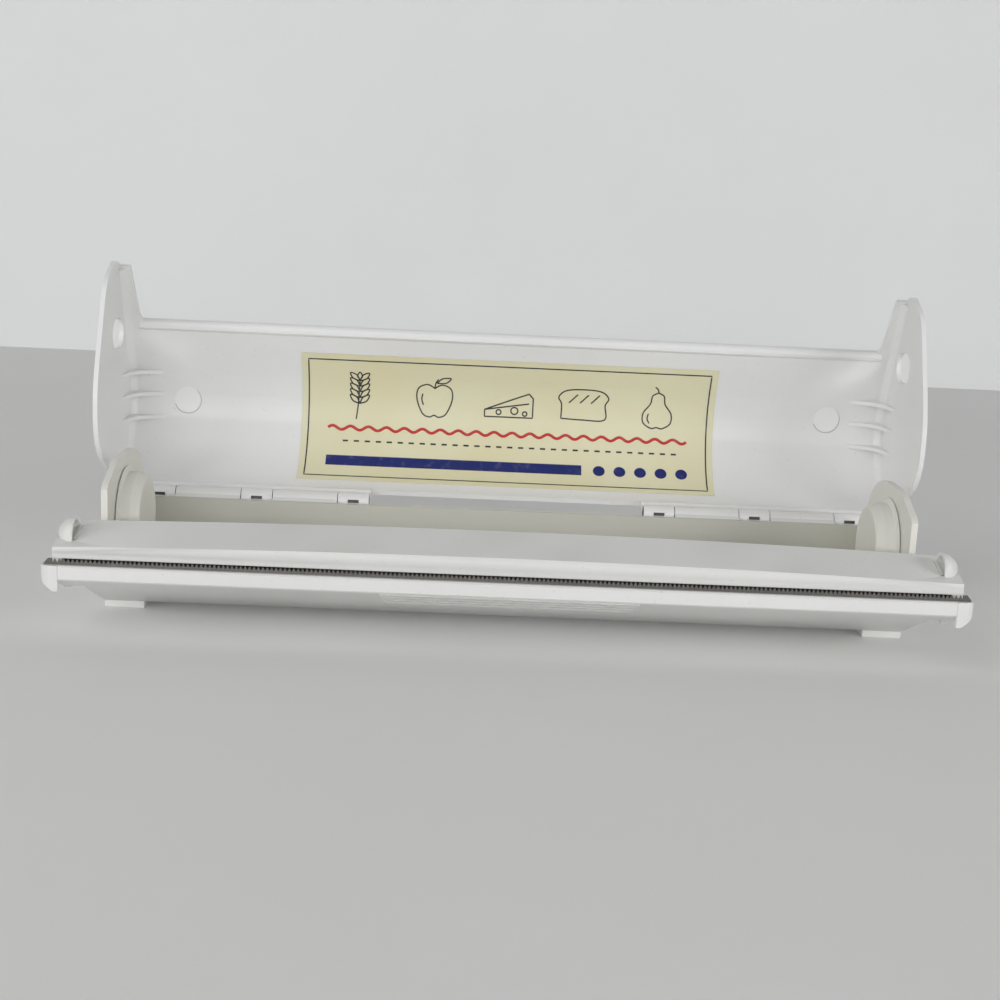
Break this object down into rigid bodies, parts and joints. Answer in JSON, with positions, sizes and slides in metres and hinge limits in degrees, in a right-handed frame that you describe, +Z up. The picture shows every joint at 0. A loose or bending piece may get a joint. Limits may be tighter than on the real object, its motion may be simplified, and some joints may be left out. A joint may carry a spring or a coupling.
{
  "type": "wrap and foil dispenser",
  "caption": "Countertop dispenser for a roll of kitchen wrap or foil: trough with flexing roll tabs and hubs, hinged half-round lid, guard bar and serrated cutter blade.",
  "frame": {"origin": "centre of the bottom of the bounding box with the lid open, on the table", "axes": "+X along the roll to the right, -Y towards the blade and the user, +Z up"},
  "size_m": [0.349, 0.1436, 0.1341],
  "materials": {
    "white_plastic": "moulded satin white",
    "lid_plastic": "moulded satin white",
    "guard_plastic": "moulded satin white, slightly aged",
    "tab_plastic": "moulded satin white, slightly yellowed",
    "blade_steel": "stamped strip",
    "pin_steel": "drawn wire",
    "sheet_stock": "cream printed film"
  },
  "bodies": {
    "base": {"base_tray": "white_plastic", "front_fascia": "white_plastic", "end_cap_left": "white_plastic", "end_cap_right": "white_plastic", "cutter_blade": "blade_steel", "blade_rivets": "white_plastic", "foot_left": "white_plastic", "foot_right": "white_plastic", "hinge_pin_left": "pin_steel", "hinge_pin_right": "pin_steel", "guard_pin_left": "pin_steel", "guard_pin_right": "pin_steel", "guard_spring_left": "pin_steel", "guard_spring_right": "pin_steel"},
    "guard": {"guard_bar": "guard_plastic"},
    "tab_left": {"holding_tab_left": "tab_plastic"},
    "tab_right": {"holding_tab_right": "tab_plastic"},
    "hub_left": {"roll_hub_left": "tab_plastic"},
    "hub_right": {"roll_hub_right": "tab_plastic"},
    "lid": {"lid_cover": "lid_plastic", "lid_sheet": "sheet_stock"}
  },
  "joints": [
    {"name": "lid_hinge", "type": "hinge", "parent": "base", "child": "lid", "pos_m": [0, 0.0338, 0.0354], "axis": [1, 0, 0], "range_deg": [0, 92]},
    {"name": "guard_press", "type": "hinge", "parent": "base", "child": "guard", "pos_m": [0, -0.0501, 0.0326], "axis": [1, 0, 0], "range_deg": [0, 7], "stiffness_Nm_per_rad": 0.05, "springref_deg": -8.59},
    {"name": "tab_left_flex", "type": "hinge", "parent": "base", "child": "tab_left", "pos_m": [-0.15675, -0.0148, 0.0074], "axis": [0, -1, 0], "range_deg": [0, 10], "stiffness_Nm_per_rad": 0.8, "springref_deg": -1.72},
    {"name": "tab_right_flex", "type": "hinge", "parent": "base", "child": "tab_right", "pos_m": [0.15675, -0.0148, 0.0074], "axis": [0, 1, 0], "range_deg": [0, 10], "stiffness_Nm_per_rad": 0.8, "springref_deg": -1.72},
    {"name": "hub_left_spin", "type": "hinge", "parent": "tab_left", "child": "hub_left", "pos_m": [-0.152, -0.0136, 0.036], "axis": [1, 0, 0], "continuous": true},
    {"name": "hub_right_spin", "type": "hinge", "parent": "tab_right", "child": "hub_right", "pos_m": [0.152, -0.0136, 0.036], "axis": [1, 0, 0], "continuous": true}
  ]
}
